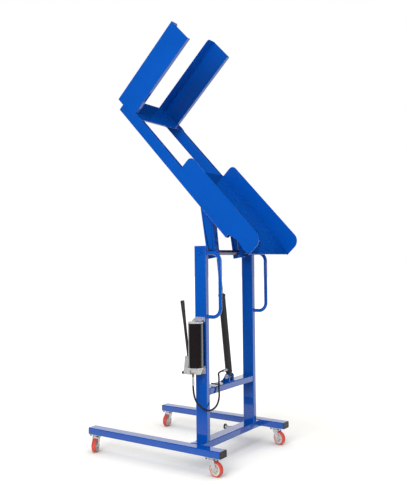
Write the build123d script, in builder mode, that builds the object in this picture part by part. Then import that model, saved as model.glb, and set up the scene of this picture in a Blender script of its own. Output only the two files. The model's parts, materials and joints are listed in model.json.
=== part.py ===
"""Wheelie bin tipper: a stand on castors, a tipping cradle, a hydraulic ram and a hand pump."""

import os
from math import cos, pi, radians, sin, tan

from build123d import *

os.makedirs("parts", exist_ok=True)

# Frame: X towards the pouring side, Y across the machine, Z up from the floor, in mm.
# The pivot shaft lies above the origin. The near side, with the pump, is at negative Y.
SIDES = (("near", -1), ("far", 1))

# Steel tube of the stand and the cradle
TUBE_WIDE = 80
TUBE_THIN = 40
TUBE_WALL = 3
TUBE_RADIUS = 5

# Stand
LEG_BOTTOM = 125
LEG_HEIGHT = 47
LEG_TOP = LEG_BOTTOM + LEG_HEIGHT
LEG_MID_Z = (LEG_BOTTOM + LEG_TOP) / 2
LEG_Y = 433
LEG_BACK = -911
LEG_FRONT = 238.5
LEG_INNER_Y = LEG_Y - TUBE_WIDE / 2
PLUG_FLANGE = 4
PLUG_DEPTH = 12
PLUG_SLACK = 2
PLUG_RIM = 6
PLUG_DISH = 1.5
UPRIGHT_WIDE = 90
UPRIGHT_X = -2.5
UPRIGHT_FRONT = UPRIGHT_X + UPRIGHT_WIDE / 2
UPRIGHT_BACK = UPRIGHT_X - UPRIGHT_WIDE / 2
UPRIGHT_Y = 308.5
UPRIGHT_INNER_Y = UPRIGHT_Y - TUBE_THIN / 2
UPRIGHT_OUTER_Y = UPRIGHT_Y + TUBE_THIN / 2
UPRIGHT_TOP = 1485
MID_BEAM_BOTTOM = 480
MID_BEAM_HEIGHT = 45
MID_BEAM_TOP = MID_BEAM_BOTTOM + MID_BEAM_HEIGHT

# Pivot shaft
SHAFT_Z = 1441
SHAFT_R = 18
BUSH_R = 23
RUNNING_GAP = 0.05
SHAFT_END_Y = UPRIGHT_OUTER_Y + 0.5
SHAFT_WASHER_R = 22
SHAFT_WASHER_T = 3
SHAFT_BOLT_R = 12
SHAFT_BOLT_T = 10

# Cradle, measured along its rails and out from the shaft, in the tipped position
TIP_ANGLE = radians(-46.7)
RAIL_BACK = 188
RAIL_FRONT = RAIL_BACK + TUBE_WIDE
RAIL_Y = 250
RAIL_OUTER_Y = RAIL_Y + TUBE_THIN / 2
RAIL_INNER_Y = RAIL_Y - TUBE_THIN / 2
RAIL_START = -1312
RAIL_END = 46
ARM_Y = 170
ARM_LEAN = radians(98.7)
ARM_TAIL = 40
CROSS_START = -350
CROSS_LONG = 150
CROSS_DEEP = 50
FOOT_TUBE_START = RAIL_START
SHEET = 4
BEND_INSIDE = 2
TRAY_BASE = -1378
TRAY_LIP = -1172
TRAY_INNER_OUT = 238
TRAY_OUTER_OUT = 936
TRAY_BASE_WIDTH = 80
TRAY_LIP_WIDTH = 30
TRAY_CORNER_R = 20
BACK_PLATE_START = -1366
BACK_PLATE_END = -1095
CHUTE_START = -562
CHUTE_TIP = 255
CHUTE_HEEL = 220
CHUTE_EDGE = 382
CHUTE_SCOOP_START = 60
CHUTE_SCOOP_DEEPEST = (127, 242)
CHUTE_SCOOP_END = (195, 232)
CHUTE_TOE = 238
CHUTE_TIP_R = 65
CHUTE_TAIL_R = 40
FLOOR_T = 3
FLOOR_DROP = 25

# Ram
RAM_FOOT = (14, 561)
RAM_HEAD_ALONG = -224.3
RAM_HEAD_OUT = 82.7
RAM_PIN_R = 10
PIN_HEAD_R = 16
PIN_HEAD_T = 5
EAR_INNER_Y = 22
EAR_T = 10
EAR_R = 21
FOOT_PLATE_T = 5
FOOT_EYE_R = 18
FOOT_EYE_HALF = 21
FOOT_NECK = 32
BARREL_START = 28
BARREL_END = 567
BARREL_R = 24.5
BARREL_BORE_R = 20
BARREL_FLOOR = 12
GLAND_R = 26.5
GLAND_T = 18
ROD_R = 13
PISTON_T = 16
PISTON_AT = 525
ROD_EYE_R = 24
ROD_EYE_HALF = 20
HEAD_PIN_HALF = 21
LUG_INNER_Y = 22.5
LUG_T = 12
LUG_R = 26
PORT_ALONG = 48
PORT_R = 9
FERRULE_R = 8.5
PORT_END_Y = -45
PORT_FERRULE_Y = -75

# Buffers at the stand's foot
BUFFER_Y = 165
BUFFER_Z = LEG_MID_Z
BUFFER_FACE = -135
BUFFER_R = 20
BUFFER_BACK = -127
BUFFER_NUT = -82
BUFFER_BOSS = -72
BOSS_R = 9
STUD_R = 6
NUT_R = 11

# Push handles
HANDLE_BAR_R = 12.5
HANDLE_LOW = 1008
HANDLE_HIGH = 1436
HANDLE_REACH = 147
HANDLE_BEND = 60

# Hand pump
PUMP_X = -3
PUMP_Y = -385
BRACKET_T = 4
BRACKET_LEFT = -40
BRACKET_RIGHT = 36
BRACKET_BOTTOM = 627
BRACKET_TOP = 1007
WEB_LEFT = -30
WEB_RIGHT = 18
LOW_TAB_TOP = 679
HIGH_TAB_BOTTOM = 976
FLANGE_END_Y = -377
FLANGE_END_Z = 986
SEAT_R = 51
SEAT_BOTTOM = 665
SEAT_TOP = 676
BODY_R = 46
FOOT_R = 20
FOOT_OFFSET = 17
BLOCK_BOTTOM = 631
PAD_HALF = 18
PAD_BOTTOM = 646
PORT_BOSS_R = 13
PORT_BOSS_BOTTOM = 637.5
TANK_R = 50
TANK_TOP = 970
TANK_WALL = 3
CAP_T = 10
CAP_ROUND = 3
LEVER_Y = -380
LEVER_PIN = (-80, 653)
LEVER_PIN_R = 5
CHEEK_INNER = 13
CHEEK_T = 6
CHEEK_END = -95
CHEEK_TOP = 671
CHEEK_ROOT = -30
YOKE_ROOT = -42
YOKE_BOTTOM = 625
YOKE_FLOOR = 638
BARREL_BOSS_R = 9
BARREL_BOSS_END = -55
HUB_R = 11
HUB_HALF = 12
SOCKET_HALF = 16
SOCKET_SHOULDER = 667
SOCKET_TOP = 745
SOCKET_TOP_X = -72
LEVER_SEAT_X = -68
LEVER_LEAN = radians(7)
LEVER_SEAT_DEPTH = 34
LEVER_WAIST = 205
LEVER_END = 376
LEVER_THIN_R = 9
LEVER_WAIST_R = 10
LEVER_THICK_R = 14.5
LEVER_ROUND = 5
PLUNGER_R = 5
PLUNGER_Z = 667
PLUNGER_TIP = -61
PLUNGER_INNER = -24
PLUNGER_REST_GAP = 3
KNOB_R = 10
KNOB_Z = 632
KNOB_STEM = 6
KNOB_STEM_R = 4
KNOB_STEM_DEPTH = 8
KNOB_LENGTH = 16
FITTING_X = -24
FITTING_Y = -390
FITTING_R = 10
FITTING_BOTTOM = 613
PUMP_FERRULE_BOTTOM = 554

# Hose from the pump to the ram
PORT_X = 9.3
PORT_Z = 608.8
HOSE_R = 6.25
HOSE_POINTS = [
    (-24, -390, 554),
    (-24, -390, 496),
    (6, -382, 425),
    (62, -340, 379),
    (80, -268, 399),
    (66, -208, 453),
    (54, -199, 519),
    (47, -182, 583),
    (PORT_X, -138, PORT_Z),
    (PORT_X, PORT_FERRULE_Y, PORT_Z),
]
HOSE_SHARE = 0.45
TIE_SHARE = 0.73
TIE_BAND = 2.5
TIE_SLACK = 0.3
TIE_HALF = 4.5
TIE_TAIL = 55

# Castors
CASTOR_FRONT_X = 155
CASTOR_BACK_X = -868
CASTOR_SWIVELS = {
    "front_near": (CASTOR_FRONT_X, -LEG_Y, radians(-6)),
    "front_far": (CASTOR_FRONT_X, LEG_Y, radians(-15)),
    "back_near": (CASTOR_BACK_X, -LEG_Y, radians(-65)),
    "back_far": (CASTOR_BACK_X, LEG_Y, radians(-83)),
}
CASTOR_TRAIL = 30
CASTOR_PLATE_X = 84
CASTOR_PLATE_Y = 76
CASTOR_PLATE_T = 4
CASTOR_BOLT_X = 62
CASTOR_BOLT_Y = 56
CASTOR_NUT_R = 7
CASTOR_NUT_T = 6.5
CASTOR_STUD_R = 4
CASTOR_STUD_T = 5
CUP_R = 27
CUP_T = 8
SWIVEL_GAP = 0.3
FORK_HEAD_R = 30
FORK_HEAD_BOTTOM = 100
FORK_HEAD_ROUND = 5
FORK_INNER = 19
FORK_T = 4
FORK_LEG_TOP = 107
FORK_LEG_BACK = -20
FORK_LEG_FRONT = 26
FORK_END_R = 15
KINGPIN_R = 6
KINGPIN_NUT_R = 9
KINGPIN_NUT_T = 4
KINGPIN_NUT_GAP = 0.4
AXLE_R = 5
AXLE_HEAD_R = 8
AXLE_HEAD_T = 6
WHEEL_R = 48
WHEEL_HALF = 16
TYRE_INNER_R = 40
TYRE_ROUND = 6
RIM_HALF = 14
RIM_INNER_R = 33
WEB_HALF = 5
HUB_OUTER_R = 16
HUB_HALF_WIDTH = 18

HEX = 6


def save(part, name):
    part.label = name
    export_step(part, f"parts/{name}.step")


def tube_section(width, height):
    RectangleRounded(width, height, TUBE_RADIUS)
    RectangleRounded(
        width - 2 * TUBE_WALL,
        height - 2 * TUBE_WALL,
        TUBE_RADIUS - TUBE_WALL,
        mode=Mode.SUBTRACT,
    )


def side_plane(y):
    """Sketch plane across the machine: local x is X and local y is Z."""
    return Plane(origin=(0, y, 0), x_dir=(1, 0, 0), z_dir=(0, -1, 0))


def end_plane(x, y, z):
    """Sketch plane facing +X: local x is Y and local y is Z."""
    return Plane(origin=(x, y, z), x_dir=(0, 1, 0), z_dir=(1, 0, 0))


def cross_plane(x, y, z):
    """Sketch plane facing +Y: local x is Z and local y is X."""
    return Plane(origin=(x, y, z), x_dir=(0, 0, 1), z_dir=(0, 1, 0))


# Directions of the cradle: along its rails towards the chute, and out from its back
ALONG = Vector(cos(TIP_ANGLE), 0, sin(TIP_ANGLE))
OUT = Vector(-sin(TIP_ANGLE), 0, cos(TIP_ANGLE))
SHAFT_MID = Vector(0, 0, SHAFT_Z)


def cradle_point(along, y, out):
    return SHAFT_MID + ALONG * along + OUT * out + Vector(0, y, 0)


def cradle_side(y):
    """Sketch plane across the cradle: local x is along and local y is out."""
    return Plane(origin=cradle_point(0, y, 0), x_dir=ALONG, z_dir=(0, -1, 0))


def cradle_end(along, y, out):
    """Sketch plane at right angles to the rails: local x is Y and local y is out reversed."""
    return Plane(origin=cradle_point(along, y, out), x_dir=(0, 1, 0), z_dir=ALONG)


def cradle_face(along, y, out):
    """Sketch plane on the rails' faces: local x is along and local y is Y."""
    return Plane(origin=cradle_point(along, y, out), x_dir=ALONG, z_dir=OUT)


# Stand: legs and their end plugs
for side_name, side in SIDES:
    with BuildPart() as leg:
        with BuildSketch(end_plane(LEG_BACK + PLUG_FLANGE, side * LEG_Y, LEG_MID_Z)):
            tube_section(TUBE_WIDE, LEG_HEIGHT)
        extrude(amount=LEG_FRONT - LEG_BACK - 2 * PLUG_FLANGE)
    save(leg.part, f"base_leg_{side_name}")

with BuildPart() as plugs:
    for side_name, side in SIDES:
        for leg_end, facing in ((LEG_BACK, 1), (LEG_FRONT, -1)):
            with BuildSketch(end_plane(leg_end, side * LEG_Y, LEG_MID_Z)):
                RectangleRounded(TUBE_WIDE, LEG_HEIGHT, TUBE_RADIUS)
            extrude(amount=facing * PLUG_FLANGE)
            with BuildSketch(end_plane(leg_end + facing * PLUG_FLANGE, side * LEG_Y, LEG_MID_Z)):
                Rectangle(
                    TUBE_WIDE - 2 * (TUBE_WALL + PLUG_SLACK),
                    LEG_HEIGHT - 2 * (TUBE_WALL + PLUG_SLACK),
                )
            extrude(amount=facing * PLUG_DEPTH)
            with BuildSketch(end_plane(leg_end, side * LEG_Y, LEG_MID_Z)):
                Rectangle(TUBE_WIDE - 2 * PLUG_RIM, LEG_HEIGHT - 2 * PLUG_RIM)
            extrude(amount=facing * PLUG_DISH, mode=Mode.SUBTRACT)
save(plugs.part, "leg_end_plugs")

# Stand: cross beams and uprights
with BuildPart() as base_beam:
    with BuildSketch(cross_plane(UPRIGHT_X, -LEG_INNER_Y, LEG_MID_Z)):
        tube_section(LEG_HEIGHT, UPRIGHT_WIDE)
    extrude(amount=2 * LEG_INNER_Y)
save(base_beam.part, "base_cross_beam")

for side_name, side in SIDES:
    with BuildPart() as upright:
        with BuildSketch(Plane(origin=(UPRIGHT_X, side * UPRIGHT_Y, LEG_TOP))):
            tube_section(UPRIGHT_WIDE, TUBE_THIN)
        extrude(amount=UPRIGHT_TOP - TUBE_WALL - LEG_TOP)
        with BuildSketch(Plane(origin=(UPRIGHT_X, side * UPRIGHT_Y, UPRIGHT_TOP - TUBE_WALL))):
            RectangleRounded(UPRIGHT_WIDE, TUBE_THIN, TUBE_RADIUS)
        extrude(amount=TUBE_WALL)
        with BuildSketch(cross_plane(0, side * UPRIGHT_Y, SHAFT_Z)):
            Circle(BUSH_R)
        extrude(amount=TUBE_THIN, both=True, mode=Mode.SUBTRACT)
    save(upright.part, f"upright_{side_name}")

with BuildPart() as mid_beam:
    with BuildSketch(cross_plane(UPRIGHT_X, -UPRIGHT_INNER_Y, MID_BEAM_BOTTOM + MID_BEAM_HEIGHT / 2)):
        tube_section(MID_BEAM_HEIGHT, UPRIGHT_WIDE)
    extrude(amount=2 * UPRIGHT_INNER_Y)
save(mid_beam.part, "mid_cross_beam")

# Pivot: bushes in the uprights, the shaft and its end bolts
with BuildPart() as bushes:
    for side_name, side in SIDES:
        with BuildSketch(cross_plane(0, side * UPRIGHT_Y, SHAFT_Z)):
            Circle(BUSH_R)
            Circle(SHAFT_R + RUNNING_GAP, mode=Mode.SUBTRACT)
        extrude(amount=TUBE_THIN / 2, both=True)
save(bushes.part, "shaft_bushes")

with BuildPart() as shaft:
    with BuildSketch(cross_plane(0, -SHAFT_END_Y, SHAFT_Z)):
        Circle(SHAFT_R)
    extrude(amount=2 * SHAFT_END_Y)
save(shaft.part, "pivot_shaft")

with BuildPart() as shaft_bolts:
    for side_name, side in SIDES:
        with BuildSketch(cross_plane(0, side * SHAFT_END_Y, SHAFT_Z)):
            Circle(SHAFT_WASHER_R)
        extrude(amount=side * SHAFT_WASHER_T)
        with BuildSketch(cross_plane(0, side * (SHAFT_END_Y + SHAFT_WASHER_T), SHAFT_Z)):
            RegularPolygon(SHAFT_BOLT_R, HEX)
        extrude(amount=side * SHAFT_BOLT_T)
save(shaft_bolts.part, "shaft_end_bolts")

# Cradle: arms, rails and the cross tubes that join them
ARM_ANGLE = ARM_LEAN - TIP_ANGLE
ARM_X = cos(ARM_ANGLE)
ARM_Y_STEP = sin(ARM_ANGLE)


def arm_outline(half_width, tail):
    """Corners of an arm's side, from its square tail to the back of the cross tube."""
    corners = []
    for offset in (-half_width, half_width):
        reach = (RAIL_BACK - offset * ARM_X) / ARM_Y_STEP
        corners.append((-tail * ARM_X - offset * ARM_Y_STEP, -tail * ARM_Y_STEP + offset * ARM_X))
        corners.append((reach * ARM_X - offset * ARM_Y_STEP, RAIL_BACK))
    return [corners[0], corners[1], corners[3], corners[2]]


for side_name, side in SIDES:
    with BuildPart() as arm:
        with BuildSketch(cradle_side(side * ARM_Y)):
            Polygon(*arm_outline(TUBE_WIDE / 2, ARM_TAIL), align=None)
        extrude(amount=TUBE_THIN / 2, both=True)
        with BuildSketch(cradle_side(side * ARM_Y)):
            Polygon(*arm_outline(TUBE_WIDE / 2 - TUBE_WALL, ARM_TAIL - TUBE_WALL), align=None)
        extrude(amount=TUBE_THIN / 2 - TUBE_WALL, both=True, mode=Mode.SUBTRACT)
        with BuildSketch(cradle_side(side * ARM_Y)):
            Circle(SHAFT_R)
        extrude(amount=TUBE_THIN, both=True, mode=Mode.SUBTRACT)
    save(arm.part, f"cradle_arm_{side_name}")

for side_name, side in SIDES:
    with BuildPart() as rail:
        with BuildSketch(cradle_end(RAIL_START, side * RAIL_Y, (RAIL_BACK + RAIL_FRONT) / 2)):
            tube_section(TUBE_THIN, TUBE_WIDE)
        extrude(amount=RAIL_END - RAIL_START)
    save(rail.part, f"cradle_rail_{side_name}")

with BuildPart() as cross_tubes:
    with BuildSketch(cradle_side(RAIL_INNER_Y)):
        with Locations((CROSS_START + CROSS_LONG / 2, RAIL_BACK + CROSS_DEEP / 2)):
            tube_section(CROSS_LONG, CROSS_DEEP)
        with Locations((FOOT_TUBE_START + TUBE_WIDE / 2, RAIL_BACK + TUBE_THIN / 2)):
            tube_section(TUBE_WIDE, TUBE_THIN)
    extrude(amount=2 * RAIL_INNER_Y)
save(cross_tubes.part, "cradle_cross_tubes")

# Cradle: tray of two inward-facing channels, and the plate across its back
TRAY_OUTER_Y = RAIL_OUTER_Y + SHEET
BEND_OUTSIDE = BEND_INSIDE + SHEET
for side_name, side in SIDES:
    with BuildPart() as channel:
        with BuildSketch(cradle_face(0, 0, TRAY_INNER_OUT)):
            with BuildLine():
                FilletPolyline(
                    (TRAY_BASE, side * (TRAY_OUTER_Y - TRAY_BASE_WIDTH)),
                    (TRAY_BASE, side * TRAY_OUTER_Y),
                    (TRAY_LIP, side * TRAY_OUTER_Y),
                    (TRAY_LIP, side * (TRAY_OUTER_Y - TRAY_LIP_WIDTH)),
                    radius=BEND_OUTSIDE,
                )
                Line(
                    (TRAY_LIP, side * (TRAY_OUTER_Y - TRAY_LIP_WIDTH)),
                    (TRAY_LIP - SHEET, side * (TRAY_OUTER_Y - TRAY_LIP_WIDTH)),
                )
                FilletPolyline(
                    (TRAY_LIP - SHEET, side * (TRAY_OUTER_Y - TRAY_LIP_WIDTH)),
                    (TRAY_LIP - SHEET, side * RAIL_OUTER_Y),
                    (TRAY_BASE + SHEET, side * RAIL_OUTER_Y),
                    (TRAY_BASE + SHEET, side * (TRAY_OUTER_Y - TRAY_BASE_WIDTH)),
                    radius=BEND_INSIDE,
                )
                Line(
                    (TRAY_BASE + SHEET, side * (TRAY_OUTER_Y - TRAY_BASE_WIDTH)),
                    (TRAY_BASE, side * (TRAY_OUTER_Y - TRAY_BASE_WIDTH)),
                )
            make_face()
        extrude(amount=TRAY_OUTER_OUT - TRAY_INNER_OUT)
        # The lip starts above the back plate and clear of it
        with BuildSketch(cradle_face(TRAY_LIP, side * (RAIL_OUTER_Y - TRAY_LIP_WIDTH / 2), TRAY_INNER_OUT)):
            Rectangle(2 * TRAY_LIP_WIDTH, TRAY_LIP_WIDTH)
        extrude(amount=RAIL_FRONT + 2 * SHEET - TRAY_INNER_OUT, mode=Mode.SUBTRACT)
        flange_corner = cradle_point(
            TRAY_BASE + SHEET / 2,
            side * (TRAY_OUTER_Y - TRAY_BASE_WIDTH),
            TRAY_OUTER_OUT,
        )
        fillet(channel.edges().sort_by_distance(flange_corner)[0], TRAY_CORNER_R)
    save(channel.part, f"tray_channel_{side_name}")

with BuildPart() as back_plate:
    with BuildSketch(cradle_face((BACK_PLATE_START + BACK_PLATE_END) / 2, 0, RAIL_FRONT)):
        Rectangle(BACK_PLATE_END - BACK_PLATE_START, 2 * (RAIL_OUTER_Y - BEND_INSIDE))
    extrude(amount=SHEET)
save(back_plate.part, "tray_back_plate")

# Cradle: chute with two sides and a floor that drops at its tip
for side_name, side in SIDES:
    with BuildPart() as chute_side:
        with BuildSketch(cradle_side(side * (RAIL_OUTER_Y + SHEET / 2))):
            with BuildLine():
                Line((CHUTE_START, CHUTE_HEEL), (CHUTE_SCOOP_START, CHUTE_HEEL))
                ThreePointArc((CHUTE_SCOOP_START, CHUTE_HEEL), CHUTE_SCOOP_DEEPEST, CHUTE_SCOOP_END)
                Line(CHUTE_SCOOP_END, (CHUTE_TIP, CHUTE_TOE))
                Line((CHUTE_TIP, CHUTE_TOE), (CHUTE_TIP, CHUTE_EDGE - CHUTE_TIP_R))
                TangentArc(
                    (CHUTE_TIP, CHUTE_EDGE - CHUTE_TIP_R),
                    (CHUTE_TIP - CHUTE_TIP_R, CHUTE_EDGE),
                    tangent=(0, 1),
                )
                Line((CHUTE_TIP - CHUTE_TIP_R, CHUTE_EDGE), (CHUTE_START + CHUTE_TAIL_R, CHUTE_EDGE))
                TangentArc(
                    (CHUTE_START + CHUTE_TAIL_R, CHUTE_EDGE),
                    (CHUTE_START, CHUTE_EDGE - CHUTE_TAIL_R),
                    tangent=(-1, 0),
                )
                Line((CHUTE_START, CHUTE_EDGE - CHUTE_TAIL_R), (CHUTE_START, CHUTE_HEEL))
            make_face()
        extrude(amount=SHEET / 2, both=True)
    save(chute_side.part, f"chute_side_{side_name}")

with BuildPart() as chute_floor:
    with BuildSketch(cradle_side(0)):
        with BuildLine():
            Polyline(
                (CHUTE_START, RAIL_FRONT),
                (RAIL_END, RAIL_FRONT),
                (CHUTE_TIP, RAIL_FRONT - FLOOR_DROP),
                (CHUTE_TIP, RAIL_FRONT - FLOOR_DROP + FLOOR_T),
                (RAIL_END, RAIL_FRONT + FLOOR_T),
                (CHUTE_START, RAIL_FRONT + FLOOR_T),
                close=True,
            )
        make_face()
    extrude(amount=RAIL_OUTER_Y, both=True)
save(chute_floor.part, "chute_floor")

# Ram: foot bracket on the mid beam, and its pin
FOOT_X, FOOT_Z = RAM_FOOT
with BuildPart() as ram_bracket:
    with BuildSketch(Plane.XY.offset(MID_BEAM_TOP)):
        Rectangle(TUBE_WIDE - 2 * TUBE_RADIUS, 2 * (EAR_INNER_Y + EAR_T) + EAR_T)
    extrude(amount=FOOT_PLATE_T)
    for side_name, side in SIDES:
        with BuildSketch(side_plane(side * (EAR_INNER_Y + EAR_T / 2))):
            with BuildLine():
                Polyline(
                    (-TUBE_WIDE / 2 + TUBE_RADIUS + TUBE_WALL, MID_BEAM_TOP),
                    (FOOT_X + EAR_R, MID_BEAM_TOP),
                    (FOOT_X + EAR_R, FOOT_Z),
                    (FOOT_X - EAR_R, FOOT_Z),
                    close=True,
                )
            make_face()
            with Locations(RAM_FOOT):
                Circle(EAR_R)
                Circle(RAM_PIN_R, mode=Mode.SUBTRACT)
        extrude(amount=EAR_T / 2, both=True)
save(ram_bracket.part, "ram_foot_bracket")

with BuildPart() as ram_foot_pin:
    with BuildSketch(cross_plane(FOOT_X, 0, FOOT_Z)):
        Circle(RAM_PIN_R)
    extrude(amount=EAR_INNER_Y + EAR_T, both=True)
    for side_name, side in SIDES:
        with BuildSketch(cross_plane(FOOT_X, side * (EAR_INNER_Y + EAR_T), FOOT_Z)):
            Circle(PIN_HEAD_R)
        extrude(amount=side * PIN_HEAD_T)
save(ram_foot_pin.part, "ram_foot_pin")

# Ram: cylinder, rod and eyes on the line from the foot pin to the cradle's lug
HEAD = cradle_point(RAM_HEAD_ALONG, 0, RAM_HEAD_OUT)
FOOT = Vector(FOOT_X, 0, FOOT_Z)
RAM_LINE = (HEAD - FOOT).normalized()
RAM_LENGTH = (HEAD - FOOT).length


def ram_plane(distance):
    """Sketch plane at right angles to the ram, at a distance from its foot pin."""
    return Plane(origin=FOOT + RAM_LINE * distance, x_dir=(0, 1, 0), z_dir=RAM_LINE)


def ram_side(distance):
    """Sketch plane along the ram: local x is along its line, centred on a distance."""
    return Plane(origin=FOOT + RAM_LINE * distance, x_dir=RAM_LINE, z_dir=(0, -1, 0))


with BuildPart() as barrel:
    with BuildSketch(ram_side(0)):
        Circle(FOOT_EYE_R)
    extrude(amount=FOOT_EYE_HALF, both=True)
    with BuildSketch(ram_side(BARREL_START / 2)):
        Rectangle(BARREL_START, FOOT_NECK)
    extrude(amount=FOOT_EYE_R - TUBE_WALL, both=True)
    with BuildSketch(ram_side(0)):
        Circle(RAM_PIN_R + RUNNING_GAP)
    extrude(amount=EAR_INNER_Y, both=True, mode=Mode.SUBTRACT)
    with BuildSketch(ram_plane(BARREL_START)):
        Circle(BARREL_R)
    extrude(amount=BARREL_END - BARREL_START)
    with BuildSketch(ram_plane(BARREL_START + BARREL_FLOOR)):
        Circle(BARREL_BORE_R)
    extrude(amount=BARREL_END - BARREL_START - BARREL_FLOOR, mode=Mode.SUBTRACT)
save(barrel.part, "ram_cylinder")

with BuildPart() as gland:
    with BuildSketch(ram_plane(BARREL_END)):
        Circle(GLAND_R)
        Circle(ROD_R + RUNNING_GAP, mode=Mode.SUBTRACT)
    extrude(amount=GLAND_T)
    fillet(gland.edges().sort_by(Axis.Z)[-2:], TUBE_WALL)
save(gland.part, "ram_gland")

PORT = FOOT + RAM_LINE * PORT_ALONG
with BuildPart() as port:
    with BuildSketch(cross_plane(PORT.X, PORT_END_Y, PORT.Z)):
        RegularPolygon(PORT_R, HEX)
    extrude(amount=-PORT_END_Y)
    with BuildSketch(cross_plane(PORT.X, PORT_FERRULE_Y, PORT.Z)):
        Circle(FERRULE_R)
    extrude(amount=PORT_END_Y - PORT_FERRULE_Y)
    with BuildSketch(ram_plane(BARREL_START)):
        Circle(BARREL_R)
    extrude(amount=BARREL_END - BARREL_START, mode=Mode.SUBTRACT)
save(port.part, "ram_port_fitting")

with BuildPart() as rod:
    with BuildSketch(ram_plane(PISTON_AT)):
        Circle(BARREL_BORE_R - RUNNING_GAP)
    extrude(amount=PISTON_T)
    with BuildSketch(ram_plane(PISTON_AT + PISTON_T)):
        Circle(ROD_R)
    extrude(amount=RAM_LENGTH - ROD_EYE_R + TUBE_WALL - PISTON_AT - PISTON_T)
    with BuildSketch(ram_side(RAM_LENGTH)):
        Circle(ROD_EYE_R)
    extrude(amount=2 * ROD_EYE_HALF, both=True, mode=Mode.SUBTRACT)
save(rod.part, "ram_rod")

# The head pin is in three pieces: the middle stays in the rod's eye, the ends in the lug
with BuildPart() as rod_eye:
    with BuildSketch(ram_side(RAM_LENGTH)):
        Circle(ROD_EYE_R)
    extrude(amount=ROD_EYE_HALF, both=True)
    with BuildSketch(ram_side(RAM_LENGTH)):
        Circle(RAM_PIN_R)
    extrude(amount=HEAD_PIN_HALF, both=True)
save(rod_eye.part, "ram_rod_eye")

with BuildPart() as lug:
    for side_name, side in SIDES:
        with BuildSketch(cradle_side(side * (LUG_INNER_Y + LUG_T / 2))):
            with BuildLine():
                Polyline(
                    (RAM_HEAD_ALONG - 2 * LUG_R, RAIL_BACK),
                    (RAM_HEAD_ALONG + LUG_R - TUBE_WALL, RAIL_BACK),
                    (RAM_HEAD_ALONG + LUG_R, RAM_HEAD_OUT),
                    (RAM_HEAD_ALONG - LUG_R, RAM_HEAD_OUT),
                    close=True,
                )
            make_face()
            with Locations((RAM_HEAD_ALONG, RAM_HEAD_OUT)):
                Circle(LUG_R)
                Circle(RAM_PIN_R, mode=Mode.SUBTRACT)
        extrude(amount=LUG_T / 2, both=True)
save(lug.part, "ram_lug")

with BuildPart() as lug_pins:
    for side_name, side in SIDES:
        with BuildSketch(cross_plane(HEAD.X, side * LUG_INNER_Y, HEAD.Z)):
            Circle(RAM_PIN_R)
        extrude(amount=side * LUG_T)
        with BuildSketch(cross_plane(HEAD.X, side * (LUG_INNER_Y + LUG_T), HEAD.Z)):
            Circle(PIN_HEAD_R)
        extrude(amount=side * PIN_HEAD_T)
save(lug_pins.part, "ram_lug_pins")

# Buffers that the cradle's foot tube comes down on: welded bosses, studs with lock nuts, rubber pads
with BuildPart() as buffer_fittings:
    for side_name, side in SIDES:
        with BuildSketch(end_plane(BUFFER_BACK, side * BUFFER_Y, BUFFER_Z)):
            Circle(STUD_R)
        extrude(amount=BUFFER_NUT - BUFFER_BACK)
        with BuildSketch(end_plane(BUFFER_NUT, side * BUFFER_Y, BUFFER_Z)):
            RegularPolygon(NUT_R, HEX)
        extrude(amount=BUFFER_BOSS - BUFFER_NUT)
        with BuildSketch(end_plane(BUFFER_BOSS, side * BUFFER_Y, BUFFER_Z)):
            Circle(BOSS_R)
        extrude(amount=UPRIGHT_BACK - BUFFER_BOSS)
save(buffer_fittings.part, "buffer_fittings")

with BuildPart() as buffers:
    for side_name, side in SIDES:
        with BuildSketch(end_plane(BUFFER_FACE, side * BUFFER_Y, BUFFER_Z)):
            Circle(BUFFER_R)
        extrude(amount=BUFFER_BACK - BUFFER_FACE)
save(buffers.part, "rubber_buffers")

# Push handles
for side_name, side in SIDES:
    with BuildPart() as handle:
        with BuildLine(side_plane(side * UPRIGHT_Y)) as handle_line:
            FilletPolyline(
                (UPRIGHT_FRONT, HANDLE_LOW),
                (HANDLE_REACH, HANDLE_LOW),
                (HANDLE_REACH, HANDLE_HIGH),
                (UPRIGHT_FRONT, HANDLE_HIGH),
                radius=HANDLE_BEND,
            )
        with BuildSketch(end_plane(UPRIGHT_FRONT, side * UPRIGHT_Y, HANDLE_LOW)):
            Circle(HANDLE_BAR_R)
        sweep(path=handle_line.line)
    save(handle.part, f"push_handle_{side_name}")

# Hand pump: bracket with two tabs and a sloping flange
BRACKET_BACK_Y = -UPRIGHT_OUTER_Y
BRACKET_FRONT_Y = BRACKET_BACK_Y - BRACKET_T
with BuildPart() as pump_bracket:
    with BuildSketch(side_plane(BRACKET_BACK_Y)):
        with BuildLine():
            Polyline(
                (BRACKET_LEFT, BRACKET_BOTTOM),
                (BRACKET_RIGHT, BRACKET_BOTTOM),
                (BRACKET_RIGHT, LOW_TAB_TOP),
                (WEB_RIGHT, LOW_TAB_TOP),
                (WEB_RIGHT, HIGH_TAB_BOTTOM),
                (BRACKET_RIGHT, HIGH_TAB_BOTTOM),
                (BRACKET_RIGHT, BRACKET_TOP - BRACKET_T),
                (BRACKET_LEFT, BRACKET_TOP - BRACKET_T),
                (BRACKET_LEFT, HIGH_TAB_BOTTOM),
                (WEB_LEFT, HIGH_TAB_BOTTOM),
                (WEB_LEFT, LOW_TAB_TOP),
                (BRACKET_LEFT, LOW_TAB_TOP),
                close=True,
            )
        make_face()
    extrude(amount=BRACKET_T)
    with BuildSketch(end_plane(BRACKET_LEFT, 0, 0)):
        with BuildLine():
            Polyline(
                (BRACKET_BACK_Y, BRACKET_TOP),
                (FLANGE_END_Y, FLANGE_END_Z),
                (FLANGE_END_Y, FLANGE_END_Z - BRACKET_T),
                (BRACKET_BACK_Y, BRACKET_TOP - BRACKET_T),
                close=True,
            )
        make_face()
    extrude(amount=BRACKET_RIGHT - BRACKET_LEFT)
save(pump_bracket.part, "pump_bracket")

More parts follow.
